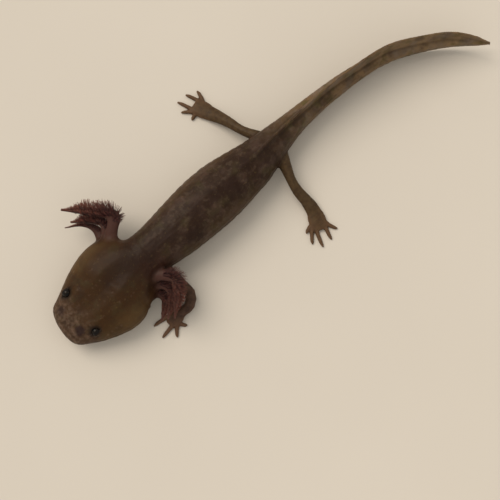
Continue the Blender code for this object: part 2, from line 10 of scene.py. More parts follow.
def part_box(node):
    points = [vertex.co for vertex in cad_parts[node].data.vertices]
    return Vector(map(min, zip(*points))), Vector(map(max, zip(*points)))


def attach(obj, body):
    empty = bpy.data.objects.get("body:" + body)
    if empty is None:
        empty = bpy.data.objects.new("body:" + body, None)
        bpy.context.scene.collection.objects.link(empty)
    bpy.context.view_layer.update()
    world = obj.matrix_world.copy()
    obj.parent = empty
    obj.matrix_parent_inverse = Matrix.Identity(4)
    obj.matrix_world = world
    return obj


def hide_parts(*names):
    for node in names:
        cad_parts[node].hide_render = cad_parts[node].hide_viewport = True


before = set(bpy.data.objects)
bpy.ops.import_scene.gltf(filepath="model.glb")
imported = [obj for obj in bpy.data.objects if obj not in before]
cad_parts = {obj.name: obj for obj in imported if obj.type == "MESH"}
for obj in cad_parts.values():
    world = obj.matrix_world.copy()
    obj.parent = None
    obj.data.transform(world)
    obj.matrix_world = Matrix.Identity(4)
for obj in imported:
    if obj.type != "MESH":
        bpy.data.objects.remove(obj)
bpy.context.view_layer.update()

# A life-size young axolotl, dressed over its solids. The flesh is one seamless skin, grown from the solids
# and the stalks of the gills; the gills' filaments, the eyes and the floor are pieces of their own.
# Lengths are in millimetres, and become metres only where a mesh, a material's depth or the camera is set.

MM = 0.001
UP = np.array([0.0, 0.0, 1.0])
SIDES = {"left": 1, "right": -1}  # the animal's left is +X
LEVELS = ("upper", "middle", "lower")
FINE_COUNT = 600  # points on a finely divided line

# ---------------------------------------------------------------- sizes shared with the solids
# The spine seen from above, snout to tail tip.
SPINE_PLAN = [
    (3.6, -57.4),
    (3.9, -50.3),
    (3.6, -43.0),
    (2.4, -35.2),
    (2.2, -27.0),
    (1.8, -15.7),
    (0.9, -7.7),
    (0.1, 3.0),
    (-0.4, 12.8),
    (-1.5, 20.0),
    (-2.6, 29.0),
    (-3.1, 47.4),
    (-1.7, 60.6),
    (2.2, 71.4),
    (6.6, 79.2),
    (13.6, 87.4),
]
BODY_LENGTH = 149.3  # distances behind the snout run from 0 to this at the tail tip

# Each gill's stalk by its bends, upper, middle and lower.
GILL_STALKS = {
    "right": [
        [
            (-6.0, -32.4, 9.0), (-9.2, -29.5, 10.2), (-11.0, -27.2, 10.8),
            (-14.0, -30.4, 10.6), (-21.6, -37.6, 9.5),
        ],
        [
            (-6.9, -33.7, 7.0), (-9.7, -31.4, 7.9), (-11.5, -30.5, 8.2),
            (-13.6, -32.3, 8.1), (-17.8, -37.6, 7.4),
        ],
        [
            (-8.2, -34.6, 5.0), (-10.9, -33.2, 5.4), (-12.8, -33.3, 5.6),
            (-15.3, -35.2, 5.5), (-18.3, -39.8, 5.0),
        ],
    ],
    "left": [
        [
            (7.6, -31.0, 9.0), (9.8, -26.6, 10.2), (12.6, -25.0, 10.8),
            (16.0, -27.6, 10.6), (20.8, -31.4, 9.4),
        ],
        [
            (9.0, -32.2, 7.0), (11.0, -28.6, 7.8), (13.4, -27.6, 8.2),
            (15.9, -29.6, 8.0), (19.5, -32.9, 7.3),
        ],
        [
            (10.4, -33.6, 5.0), (11.8, -30.8, 5.6), (13.8, -30.0, 5.8),
            (15.8, -31.9, 5.7), (18.7, -34.6, 5.2),
        ],
    ],
}
# A stalk's half width at shares of its length, and its height against its width: broad and flat at the head.
STALK_RADII = ((0.0, 2.1), (0.25, 1.75), (0.4, 1.35), (0.56, 0.75), (0.76, 0.42), (1.0, 0.26))
STALK_FLATNESS = ((0.0, 0.52), (0.4, 0.55), (0.6, 0.9), (0.8, 1.0))
# The longest filaments of each upper, middle and lower gill. The right lower gill has lost most of its own.
FRINGE_LENGTHS = {"right": (3.9, 3.3, 0.8), "left": (3.0, 2.8, 2.2)}

MOUTH_HEIGHT = 4.35
MOUTH_CORNER = 11.5  # behind the snout
MOUTH_CORNER_RISE = 0.75
NOSTRIL_BEHIND_SNOUT = 1.9
NOSTRIL_OUT = 4.1
NOSTRIL_HEIGHT = 7.0
# A dark patch behind each nostril: behind the snout, out, height, strength.
NOSTRIL_PATCHES = {"left": (4.0, 4.0, 8.6, 1.0), "right": (2.8, 3.7, 8.2, 0.7)}
NOSTRIL_PATCH_RADIUS = 1.7
GAZE_OUT, GAZE_AHEAD, GAZE_UP = 0.62, 0.12, 0.78
LID_ANGLE = 78.0  # the skin closes round the eyeball this many degrees from its pole
RIB_SPACING = 2.55
MUSCLE_SPACING = 2.2  # of the tail's muscle blocks

# The larger dark blotches of the back: behind the snout, out to the left, radius.
BLOTCHES = [
    (31.2, 1.5, 2.0),
    (34.6, 0.6, 2.2),
    (38.7, 0.7, 3.0),
    (43.5, 4.9, 2.5),
    (48.2, 0.3, 2.9),
    (55.0, 1.2, 2.6),
    (59.9, 2.4, 3.1),
    (66.6, 0.2, 2.1),
    (72.3, 1.8, 2.6),
    (80.2, 1.6, 2.2),
    (86.2, 0.9, 1.9),
    (92.3, 2.2, 1.5),
    (97.4, 1.8, 2.0),
    (105.6, 2.0, 1.6),
    (113.1, 1.6, 2.2),
    (123.4, 1.8, 1.5),
    (136.3, 0.6, 1.6),
]

# Rows of lateral-line pores on the head: three points behind the snout, and out on both sides, with a count.
PORE_LINES = [
    ((2.6, 6.0, 10.5), (2.6, 4.6, 5.0), 9),
    ((10.5, 15.0, 21.0), (5.0, 5.2, 6.6), 9),
    ((4.5, 8.0, 13.0), (6.6, 9.0, 9.6), 9),
    ((5.0, 10.0, 17.0), (1.2, 1.6, 2.4), 10),
]

PORE_SCATTER = 0.16
PORE_RADII = (0.10, 0.30)  # a pore is full within the first and gone past the second

# The low keel along the back, by distance behind the snout: the back's own height, and how far the keel may
# stand above it before it becomes the tail's fin.
KEEL = (
    (30.0, 13.4, 0.10),
    (42.0, 13.9, 0.35),
    (52.0, 13.8, 0.42),
    (60.0, 13.2, 0.50),
    (68.0, 12.3, 0.85),
    (76.0, 11.35, 1.50),
    (84.0, 10.4, 2.35),
    (92.0, 9.75, 3.40),
    (98.0, 9.4, 4.15),
    (104.0, 9.2, 4.65),
    (111.0, 9.0, 5.30),
)
KEEL_WIDTH = 1.9
# The tail's fin is too thin to stand straight: its edge leans to the right by this much, in slow waves.
FIN_LEAN = 0.65
FIN_WAVE = 0.2
FIN_WAVE_LENGTH = 19.0

# ---------------------------------------------------------------- the skin's making
SWELL = 0.22  # the solids are swollen by this until the gaps between them close
GRAIN = 0.17  # edge length of the skin's first mesh
MOST_SWELL = 1.6  # at a sharp edge, against the swell of a flat face
STALK_SIDES = 16
STALK_FOOT = 16  # the point, of a stalk line's 60, at which it leaves the head
SOCKET_DEPTH = 0.12  # of the skin under the eyeball's surface
LID_RISE = 0.10  # of the lids above it
SMOOTHING_ROUNDS = 10
SMOOTHING_IN, SMOOTHING_OUT = 0.5, 0.52  # each round draws the skin in and pushes it out again
KIND_ROUNDS = 10  # over which limbs, fins and stalks blend into the body
GILL_KIND_ROUNDS = 50
NECK_ROUNDS = 100
TRUNK_ROUNDS = 51
LID_ROUNDS = 12
SKIN_TRIANGLES = 190_000

# ---------------------------------------------------------------- colours, as seen
COLOURS = {
    "back": "#2D1E14",
    # the back's dark blotches, and also painted shade in the creases
    "blotch_and_crease_shade": "#251610",
    "lilac": "#4C3B33",
    "olive": "#3D351F",
    "dust": "#66564B",
    "ash": "#7E7163",
    "moss": "#5A512B",
    # painted light: the right flank is painted lighter, as the side the light falls on
    "painted_light_flank": "#4C3927",
    "head": "#38240F",
    "crown": "#22130B",
    # painted light: the lighter edges of the head and of the body's left side, standing for light through the
    # thin margins
    "rim": "#5D482C",
    "snout": "#4B3A2E",
    "pale": "#8A7466",
    "maroon": "#351913",
    "tail": "#6F5940",
    "tail_end": "#806A4E",
    "limb": "#4C3C28",
    "limb_left": "#523C33",
    "toe": "#664D3A",
    "belly": "#7D6B5C",
    "fleck": "#7A683C",
    "nostril": "#1D0F13",
    "lids": "#100A08",
    "gill_stalk": "#452D28",
}


def linear(hex_colour):
    """The linear RGBA of an sRGB hex colour."""
    rgba = []
    for i in (1, 3, 5):
        c = int(hex_colour[i : i + 2], 16) / 255
        rgba.append(c / 12.92 if c <= 0.04045 else ((c + 0.055) / 1.055) ** 2.4)
    return (*rgba, 1.0)


# ---------------------------------------------------------------- lines and places
def smooth_line(points, count):
    """Evenly spaced points on a smooth line through points."""
    points = np.array(points, float)
    chords = np.concatenate([[0.0], np.cumsum(np.linalg.norm(np.diff(points, axis=0), axis=1))])
    steps = np.diff(chords)[:, None]
    rises = np.diff(points, axis=0) / steps
    inner = (rises[:-1] * steps[1:] + rises[1:] * steps[:-1]) / (steps[:-1] + steps[1:])
    slopes = np.vstack([rises[:1], inner, rises[-1:]])
    x = np.linspace(0.0, chords[-1], count * 8)
    i = np.clip(np.searchsorted(chords, x, side="right") - 1, 0, len(points) - 2)
    h = steps[i]
    t = ((x - chords[i]) / h[:, 0])[:, None]
    fine = points[i] * (1 + 2 * t) * (1 - t) ** 2 + slopes[i] * t * (1 - t) ** 2 * h
    fine += points[i + 1] * t * t * (3 - 2 * t) + slopes[i + 1] * t * t * (t - 1) * h
    along = np.concatenate([[0.0], np.cumsum(np.linalg.norm(np.diff(fine, axis=0), axis=1))])
    even = np.linspace(0.0, along[-1], count)
    return np.stack([np.interp(even, along, fine[:, k]) for k in range(fine.shape[1])], axis=1)


def headings_of(line):
    """The unit direction of a line at each of its points."""
    way = np.gradient(line, axis=0)
    return way / np.linalg.norm(way, axis=1)[:, None]


SPINE = smooth_line(SPINE_PLAN, FINE_COUNT)
SPINE_HEADINGS = headings_of(SPINE)
SPINE_LEFT = np.stack([SPINE_HEADINGS[:, 1], -SPINE_HEADINGS[:, 0]], axis=1)
SPINE_BEHIND = np.linspace(0.0, BODY_LENGTH, len(SPINE))


def place_on_body(points):
    """For each point: distance behind the snout, distance out to the left of the spine, and height."""
    places = []
    for part in np.array_split(points, max(1, len(points) // 4000)):
        away = ((part[:, None, :2] - SPINE[None]) ** 2).sum(axis=2)
        i = away.argmin(axis=1)
        offset = part[:, :2] - SPINE[i]
        behind = SPINE_BEHIND[i] + (offset * SPINE_HEADINGS[i]).sum(axis=1)
        out = (offset * SPINE_LEFT[i]).sum(axis=1)
        places.append(np.stack([behind, out, part[:, 2]], axis=1))
    return np.concatenate(places)


def at_body(behind, out, height):
    """The point at a distance behind the snout, out to the left of the spine, at a height."""
    i = np.searchsorted(SPINE_BEHIND, behind)
    return np.array([*(SPINE[i] + SPINE_LEFT[i] * out), height])


def ramp(x, start, end):
    """0 before start, 1 after end, and a smooth rise between."""
    t = np.clip((x - start) / (end - start), 0.0, 1.0)
    return t * t * (3 - 2 * t)


def band(x, start, end, soft):
    """1 between start and end, fading over soft at both."""
    return ramp(x, start - soft, start + soft) * (1 - ramp(x, end - soft, end + soft))


def hump(x, width):
    """A soft hump of height 1 at 0."""
    return np.exp(-((x / width) ** 2))


# ---------------------------------------------------------------- meshes
def add_object(name, data):
    """Puts a mesh, a light or a camera in the scene as an object."""
    made = bpy.data.objects.new(name, data)
    bpy.context.scene.collection.objects.link(made)
    return made


def swollen_solid(name):
    """A flesh solid's mesh in millimetres, every face moved out by SWELL."""
    bm = bmesh.new()
    bm.from_mesh(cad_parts[name].data)
    bmesh.ops.scale(bm, vec=(1 / MM,) * 3, verts=bm.verts)
    bmesh.ops.remove_doubles(bm, verts=bm.verts, dist=0.002)
    bmesh.ops.recalc_face_normals(bm, faces=bm.faces)
    moved = [v.co + v.normal * SWELL * min(v.calc_shell_factor(), MOST_SWELL) for v in bm.verts]
    for v, co in zip(bm.verts, moved):
        v.co = co
    return bm


def add_tube(bm, line, radii, sides, flatness=None):
    """Adds a tube along a line to a bmesh, closed at its ends. flatness is its height against its width."""
    rings = []
    ways = headings_of(line)
    side = np.cross(ways[0], UP if abs(ways[0][2]) < 0.9 else np.array([1.0, 0.0, 0.0]))
    heights = radii if flatness is None else radii * flatness
    for point, way, radius, tall in zip(line, ways, radii, heights):
        side = side - way * side.dot(way)
        side /= np.linalg.norm(side)
        other = np.cross(way, side)
        ring = []
        for i in range(sides):
            a = 2 * math.pi * i / sides
            ring.append(bm.verts.new(point + side * math.cos(a) * radius + other * math.sin(a) * tall))
        rings.append(ring)
    for a, b in zip(rings, rings[1:]):
        for i in range(sides):
            j = (i + 1) % sides
            bm.faces.new((a[i], a[j], b[j], b[i]))
    bm.faces.new(rings[0][::-1])
    bm.faces.new(rings[-1])


def stalk_line(side, level, count=60):
    return smooth_line(GILL_STALKS[side][level], count)


def stalk_radius(share):
    """A gill stalk's radius at a share of its length."""
    return np.interp(share, *zip(*STALK_RADII))


def eye_centre(side):
    low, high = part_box("eye_" + side)
    return np.array((low + high) / 2) / MM


def eye_radius():
    low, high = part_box("eye_left")
    return (high - low).z / MM / 2


def gaze(side):
    """The unit direction in which an eye looks: out and up, a little forward."""
    behind = place_on_body(eye_centre(side)[None])[0, 0]
    i = np.searchsorted(SPINE_BEHIND, behind)
    flat = SPINE_LEFT[i] * SIDES[side] * GAZE_OUT - SPINE_HEADINGS[i] * GAZE_AHEAD
    way = np.array([*flat, GAZE_UP])
    return way / np.linalg.norm(way)


def raw_skin():
    """One closed mesh, in millimetres, round the swollen flesh, the stalks and the eye sockets' floors."""
    flesh = bmesh.new()
    for name in sorted(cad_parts):
        if name.startswith(("eye_", "gill_")):
            continue
        piece = swollen_solid(name)
        holder = bpy.data.meshes.new("piece")
        piece.to_mesh(holder)
        piece.free()
        flesh.from_mesh(holder)
        bpy.data.meshes.remove(holder)
    for side in SIDES:
        for level in range(len(LEVELS)):
            line = stalk_line(side, level)
            shares = np.linspace(0.0, 1.0, len(line))
            flatness = np.interp(shares, *zip(*STALK_FLATNESS))
            add_tube(flesh, line, stalk_radius(shares) + SWELL, STALK_SIDES, flatness=flatness)
        socket = Matrix.Translation(eye_centre(side))
        radius = eye_radius() + SWELL - SOCKET_DEPTH
        bmesh.ops.create_icosphere(flesh, subdivisions=3, radius=radius, matrix=socket)
    mesh = bpy.data.meshes.new("raw_skin")
    flesh.to_mesh(mesh)
    flesh.free()
    holder = add_object("raw_skin", mesh)
    remesh = holder.modifiers.new("grow", "REMESH")
    remesh.mode = "VOXEL"
    remesh.voxel_size = GRAIN
    grown = bpy.data.meshes.new_from_object(holder.evaluated_get(bpy.context.evaluated_depsgraph_get()))
    bpy.data.objects.remove(holder)
    return grown


def read_points(mesh):
    points = np.empty(len(mesh.vertices) * 3)
    mesh.vertices.foreach_get("co", points)
    return points.reshape(-1, 3)


def write_points(mesh, points):
    mesh.vertices.foreach_set("co", points.ravel())
    mesh.update()


def read_normals(mesh):
    normals = np.empty(len(mesh.vertices) * 3)
    mesh.vertex_normals.foreach_get("vector", normals)
    return normals.reshape(-1, 3)


def neighbour_mean(mesh):
    """A function that gives, at each vertex, the mean of its neighbours' values."""
    ends = np.empty(len(mesh.edges) * 2, int)
    mesh.edges.foreach_get("vertices", ends)
    ends = ends.reshape(-1, 2)
    here = np.concatenate([ends[:, 0], ends[:, 1]])
    there = np.concatenate([ends[:, 1], ends[:, 0]])
    count = len(mesh.vertices)
    degree = np.maximum(np.bincount(here, minlength=count), 1)

    def mean(values):
        columns = values.reshape(count, -1)
        sums = [np.bincount(here, weights=column[there], minlength=count) for column in columns.T]
        return (np.stack(sums, axis=1) / degree[:, None]).reshape(values.shape)

    return mean


def kinds_of(points, mean):
    """How much each point belongs to a limb, a fin and a gill stalk, each from 0 to 1."""
    corners, faces, owners = [], [], []
    for name, node in sorted(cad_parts.items()):
        node.data.calc_loop_triangles()
        start = len(corners)
        corners += [v.co / MM for v in node.data.vertices]
        faces += [[start + i for i in triangle.vertices] for triangle in node.data.loop_triangles]
        limb = name.startswith(("arm_", "forearm_", "hand_", "thigh_", "shin_", "foot_"))
        fin = "_fin_" in name or name == "tail_tip"
        owners += [(limb, fin, name.startswith("gill_"))] * len(node.data.loop_triangles)
    tree = BVHTree.FromPolygons(corners, faces)
    nearest = [tree.find_nearest(Vector(p))[2] for p in points]
    kinds = np.array(owners, float)[nearest]
    for _ in range(KIND_ROUNDS):
        kinds = (kinds + mean(kinds)) / 2
    for _ in range(GILL_KIND_ROUNDS):
        kinds[:, 2] = mean(kinds[:, 2])
    return kinds


# ---------------------------------------------------------------- the skin's relief
# A depth or a rise is how far the skin stands in or out, and a width is half that of the furrow or the ridge.
GROOVE_DEPTH = 0.085
GROOVE_WIDTH = 0.42
GROOVE_SLANT = 0.16  # how far forward a groove runs for each millimetre up
RIB_RISE = 0.03
CHEVRON_DEPTH = 0.06
CHEVRON_WIDTH = 0.4
CHEVRON_SLANT = 0.75
CHEVRON_HEIGHT = 5.6  # of the chevrons' points
CLEFT_DEPTH = 0.34
CLEFT_WIDTH = 0.26
LIP_OFFSET = 0.62  # from the cleft to each lip's fullest line
UPPER_LIP_RISE = 0.17
UPPER_LIP_WIDTH = 0.42
LOWER_LIP_RISE = 0.10
LOWER_LIP_WIDTH = 0.40
THROAT_FOLD = 25.2  # behind the snout
THROAT_FOLD_DEPTH = 0.55
THROAT_FOLD_WIDTH = 0.55
THROAT_EDGE = 23.6
THROAT_EDGE_RISE = 0.28
THROAT_BOW = 0.012
NECK_CREASE_SPACING = 1.35
NECK_CREASE_DEPTH = 0.05
NECK_CREASE_WIDTH = 0.3
HEAD_MUSCLE_RISE = 0.22
CHEEK_RISE = 0.35
CHEEK_HOLLOW = 0.75
VENT = 80.5  # behind the snout
VENT_RISE = 0.35
FINE_SIZES = (0.9, 0.42)  # of the unevenness
FINE_RISE = 0.03
SLOW_SIZE = 3.4
SLOW_RISE = 0.09
NOSTRIL_DEPTH = 0.42
NOSTRIL_WIDTH = 0.42
NOSTRIL_RIM_RISE = 0.10
NOSTRIL_RIM_RADIUS = 0.85
NOSTRIL_RIM_WIDTH = 0.3


def mouth_level(behind):
    """The height of the mouth's line."""
    return MOUTH_HEIGHT + MOUTH_CORNER_RISE * ramp(behind, MOUTH_CORNER * 0.45, MOUTH_CORNER)


def repeating(x, spacing):
    """The distance to the nearest multiple of spacing."""
    return x - spacing * np.round(x / spacing)


def relief(points, places, normals, kinds):
    """How far the skin stands in or out at each point, in millimetres."""
    behind, out, height = places.T
    limb, fin, gill = kinds.T
    trunk = (1 - limb) * (1 - fin) * (1 - gill)
    rise = np.zeros(len(points))

    # Costal grooves: shallow upright furrows down the flanks, one for each rib.
    flanks = band(behind, 37.0, 75.0, 2.5) * band(height, 3.6, 11.0, 1.5)
    groove = repeating(behind + GROOVE_SLANT * (height - 7.0), RIB_SPACING)
    rise -= GROOVE_DEPTH * hump(groove, GROOVE_WIDTH) * flanks * trunk
    rise += RIB_RISE * flanks * trunk

    # The tail's muscle blocks show as faint chevrons whose points are towards the tail's tip.
    chevron = repeating(behind + CHEVRON_SLANT * np.abs(height - CHEVRON_HEIGHT), MUSCLE_SPACING)
    rise -= CHEVRON_DEPTH * hump(chevron, CHEVRON_WIDTH) * band(behind, 80.0, 136.0, 3.0) * trunk

    # The mouth: a fine cleft between soft lips, the upper one fuller towards the corner.
    above = height - mouth_level(behind)
    facing = 1 - ramp(np.abs(normals[:, 2]), 0.75, 0.97)
    mouth = (1 - ramp(behind, MOUTH_CORNER - 0.2, MOUTH_CORNER + 0.9)) * facing * (1 - limb)
    rise -= CLEFT_DEPTH * hump(above, CLEFT_WIDTH) * mouth
    fuller = 0.6 + 0.4 * ramp(behind, 4.0, 10.0)
    rise += UPPER_LIP_RISE * hump(above - LIP_OFFSET, UPPER_LIP_WIDTH) * mouth * fuller
    rise += LOWER_LIP_RISE * hump(above + LIP_OFFSET, LOWER_LIP_WIDTH) * mouth

    # The gular fold under the throat, and the free edge of skin in front of the gills.
    throat = (1 - ramp(height, 5.2, 7.4)) * trunk
    bowed = behind + THROAT_BOW * out**2
    rise -= THROAT_FOLD_DEPTH * hump(bowed - THROAT_FOLD, THROAT_FOLD_WIDTH) * throat
    rise += THROAT_EDGE_RISE * hump(bowed - THROAT_EDGE, 1.0) * throat

    # Soft creases round the neck, and low muscle cushions at the back of the head.
    crease = hump(repeating(behind, NECK_CREASE_SPACING), NECK_CREASE_WIDTH)
    rise -= NECK_CREASE_DEPTH * crease * band(behind, 28.0, 34.0, 1.5) * trunk
    cushion = HEAD_MUSCLE_RISE * hump(np.abs(out) - 3.6, 2.2) * hump(behind - 20.5, 4.6)
    rise += cushion * ramp(height, 8.5, 11.0) * trunk

    # The head bends a little to its right, so its left cheek is fuller in front and flatter behind.
    cheek = ramp(out, 6.5, 11.0) * ramp(height, 1.5, 4.0) * trunk
    rise += (CHEEK_RISE * hump(behind - 15.0, 2.6) - CHEEK_HOLLOW * hump(behind - 21.6, 2.8)) * cheek

    # The vent's low swelling under the root of the tail.
    rise += VENT_RISE * hump(behind - VENT, 2.4) * hump(out, 1.3) * (1 - ramp(height, 2.0, 4.0)) * trunk

    # Unevenness of the skin, fine over all and slow on the body.
    size, finest = FINE_SIZES
    fine = np.array([noise.noise(Vector(p / size)) + 0.6 * noise.noise(Vector(p / finest)) for p in points])
    slow = np.array([noise.noise(Vector(p / SLOW_SIZE)) for p in points])
    rougher_above = 0.5 + 0.5 * ramp(height, 3.0, 8.0)
    rise += FINE_RISE * fine * (1 - 0.6 * fin) * rougher_above + SLOW_RISE * slow * trunk

    # Nostrils: small pits with a raised rim.
    for side in SIDES.values():
        nostril = at_body(NOSTRIL_BEHIND_SNOUT, side * NOSTRIL_OUT, NOSTRIL_HEIGHT)
        away = np.linalg.norm(points - nostril, axis=1)
        rim = NOSTRIL_RIM_RISE * hump(away - NOSTRIL_RIM_RADIUS, NOSTRIL_RIM_WIDTH)
        rise += rim - NOSTRIL_DEPTH * hump(away, NOSTRIL_WIDTH)
    return rise


def fit_eyes(points):
    """Lays the skin round each eye: under the ball where it shows, and in a low soft rim about it."""
    radius = eye_radius()
    for side in SIDES:
        centre, way = eye_centre(side), gaze(side)
        offset = points - centre
        away = np.linalg.norm(offset, axis=1)
        angle = np.degrees(np.arccos(np.clip(offset @ way / np.maximum(away, 1e-6), -1, 1)))
        near = 1 - ramp(away, radius + 0.7, radius + 1.9)
        shown = 1 - ramp(angle, LID_ANGLE - 5, LID_ANGLE + 1)
        rim = ramp(angle, LID_ANGLE - 3, LID_ANGLE + 7) * (1 - ramp(angle, LID_ANGLE + 14, LID_ANGLE + 38))
        target = away + (radius - SOCKET_DEPTH - away) * shown
        target += (np.maximum(away, radius + LID_RISE) - target) * rim
        target = away + (target - away) * near
        points = centre + offset * (target / np.maximum(away, 1e-6))[:, None]
    return points


def near_eyes(points):
    """How near each point is to an eye, 0 to 1."""
    near = np.zeros(len(points))
    for side in SIDES:
        away = np.linalg.norm(points - eye_centre(side), axis=1)
        near = np.maximum(near, 1 - ramp(away, eye_radius() + 0.5, eye_radius() + 1.6))
    return near


def soften(points, places, mean):
    """Rounds the head's rear corners, and lets the fin rise from the neck and trunk as a low soft keel."""
    behind, out, height = places.T
    near = (1 - ramp(np.abs(out), 1.8, 3.2)) * ramp(height, 10.5, 11.8)
    neck = band(behind, 26.0, 42.0, 3.0) * near
    trunk = band(behind, 36.0, 84.0, 6.0) * near
    corners = band(behind, 20.0, 29.0, 2.0) * ramp(np.abs(out), 5.5, 8.5) * ramp(height, 3.0, 5.0)
    stations, back, keel = np.array(KEEL).T
    limit = np.interp(behind, stations, back) + np.interp(behind, stations, keel) * hump(out, KEEL_WIDTH)
    on_keel = (behind > stations[0]) & (behind < stations[-1])
    points[on_keel, 2] = np.minimum(height, limit)[on_keel]
    for i in range(NECK_ROUNDS):
        share = np.maximum(neck, trunk) if i < TRUNK_ROUNDS else neck
        share = np.maximum(share, corners)
        points += (share * 0.9)[:, None] * (mean(points) - points)
    return points


def lean_fin(points, places):
    """Leans the edge of the tail's fin a little to the animal's right."""
    behind, _, height = places.T
    lean = FIN_LEAN + FIN_WAVE * np.sin(behind * 2 * math.pi / FIN_WAVE_LENGTH)
    lean *= ramp(behind, 90.0, 134.0) * (1 - ramp(behind, 145.5, 149.5)) * ramp(height, 3.6, 8.4)
    nearest = np.clip(behind / BODY_LENGTH * (len(SPINE) - 1), 0, len(SPINE) - 1).astype(int)
    moved = points.copy()
    moved[:, :2] -= SPINE_LEFT[nearest] * lean[:, None]
    return moved


def make_skin():
    mesh = raw_skin()
    mean = neighbour_mean(mesh)
    points = read_points(mesh)
    for _ in range(SMOOTHING_ROUNDS):
        points += SMOOTHING_IN * (mean(points) - points)
        points -= SMOOTHING_OUT * (mean(points) - points)
    kinds = kinds_of(points, mean)
    points = soften(points, place_on_body(points), mean)
    points = lean_fin(points, place_on_body(points))
    write_points(mesh, points)
    normals = read_normals(mesh)
    places = place_on_body(points)
    slender = ramp(kinds[:, 0], 0.3, 0.9) * (1 - ramp(points[:, 2], 1.2, 2.2))
    shrink = SWELL * (1 - 0.85 * slender + 0.35 * kinds[:, 1] - 0.3 * kinds[:, 2])
    points += normals * (relief(points, places, normals, kinds) - shrink)[:, None]
    for _ in range(3):
        points += 0.3 * (mean(points) - points)
    points = fit_eyes(points)
    lids = near_eyes(points)[:, None]
    for _ in range(LID_ROUNDS):
        points += 0.5 * lids * (mean(points) - points)
    points = fit_eyes(points)
    points[:, 2] = np.maximum(points[:, 2], 0.0)
    write_points(mesh, points)
    store(mesh, "kind", kinds)
    store(mesh, "form", form_of(points, read_normals(mesh), mean))
    mesh.transform(Matrix.Scale(MM, 4))
    skin = add_object("skin", mesh)
    thin_out(skin)
    mesh = skin.data
    points = read_points(mesh) / MM
    places = place_on_body(points)
    store(mesh, "place", places)
    store(mesh, "marks", marks_of(points))
    store(mesh, "spots", spots_of(places))
    mesh.shade_smooth()
    return skin


def thin_out(skin):
    """Brings the skin down to its triangle count by thinning it where it is plainest."""
    skin.data.calc_loop_triangles()
    have = len(skin.data.loop_triangles)
    if have <= SKIN_TRIANGLES:
        return
    fewer = skin.modifiers.new("fewer", "DECIMATE")
    fewer.ratio = SKIN_TRIANGLES / have
    thinned = bpy.data.meshes.new_from_object(skin.evaluated_get(bpy.context.evaluated_depsgraph_get()))
    skin.modifiers.clear()
    skin.data = thinned
    thinned.name = "skin"


def store(mesh, name, values):
    """Keeps three numbers for each vertex under a name that the materials read."""
    if name in mesh.attributes:
        mesh.attributes.remove(mesh.attributes[name])
    layer = mesh.attributes.new(name, "FLOAT_VECTOR", "POINT")
    layer.data.foreach_set("vector", np.asarray(values, np.float32).ravel())


def form_of(points, normals, mean):
    """For each point: how much it faces the floor, and how deep it lies in a crease, 0 to 1."""
    underside = ramp(-normals[:, 2], -0.15, 0.6)
    # The crease depth is used to paint shade into creases and hollows.
    crease = np.clip(((mean(points) - points) * normals).sum(axis=1) / 0.006, 0, 1)
    for _ in range(3):
        crease = mean(crease)
    return np.stack([underside, crease, np.zeros(len(points))], axis=1)


def marks_of(points):
    """For each point: nearness to an eye's lids, a nostril's dark patch and the gills' roots, 0 to 1."""
    lids = np.zeros(len(points))
    patches = np.zeros(len(points))
    roots = np.zeros(len(points))
    frayed = np.array([noise.noise(Vector(p / 0.8)) for p in points])
    for side, sign in SIDES.items():
        centre, way = eye_centre(side), gaze(side)
        away = np.linalg.norm(points - centre, axis=1)
        angle = np.degrees(np.arccos(np.clip((points - centre) @ way / away, -1, 1)))
        lids = np.maximum(lids, (1 - ramp(angle, LID_ANGLE + 3, LID_ANGLE + 22)) * (1 - ramp(away, 1.6, 2.4)))
        patch_behind, patch_out, patch_height, strength = NOSTRIL_PATCHES[side]
        patch = at_body(patch_behind, sign * patch_out, patch_height)
        away = np.linalg.norm(points - patch, axis=1) / NOSTRIL_PATCH_RADIUS + 0.3 * frayed
        patches = np.maximum(patches, (1 - ramp(away, 0.5, 1.2)) * strength)
        for level in range(len(LEVELS)):
            root = stalk_line(side, level)[STALK_FOOT]
            roots = np.maximum(roots, hump(np.linalg.norm(points - root, axis=1), 5.2))
    return np.stack([lids, patches, roots], axis=1)


def spots_of(places):
    """For each place: the back's blotches, the lateral line's pores and the head's crown, 0 to 1."""
    behind, out, height = places.T
    blotches = np.zeros(len(places))
    frayed = np.array([noise.noise(Vector(p / 1.5)) + 0.5 * noise.noise(Vector(p / 0.6)) for p in places])
    for spot_behind, spot_out, radius in BLOTCHES:
        away = np.hypot((behind - spot_behind) * 0.8, out - spot_out) / radius + 0.6 * frayed
        blotches = np.maximum(blotches, 1 - ramp(away, 0.35, 1.3))
    blotches *= ramp(height, 4.5, 8.0) * (1 - 0.6 * ramp(behind, 70.0, 96.0))
    pores = np.zeros(len(places))
    rng = np.random.default_rng(7)
    for line_behind, line_out, count in PORE_LINES:
        for share in np.linspace(0.0, 1.0, count):
            at_behind = np.interp(share, (0, 0.5, 1), line_behind) + rng.normal(0, PORE_SCATTER)
            at_out = np.interp(share, (0, 0.5, 1), line_out) + rng.normal(0, PORE_SCATTER)
            away = np.hypot(behind - at_behind, np.abs(out) - at_out)
            pores = np.maximum(pores, (1 - ramp(away, *PORE_RADII)) * rng.uniform(0.3, 1.0))
    pores *= ramp(height, mouth_level(behind), mouth_level(behind) + 1.0)
    crown = hump(behind - 25.0, 8.5) * hump(out, 5.6) * ramp(height, 8.0, 11.0)
    return np.stack([blotches, pores, crown], axis=1)


# ---------------------------------------------------------------- eyes
EYE_GAP = 0.02  # by which the eyeball is smaller than its solid
CORNEA_RISE = 0.035  # against the eyeball's radius
CORNEA_WIDTH = 0.62  # in radians from the pupil


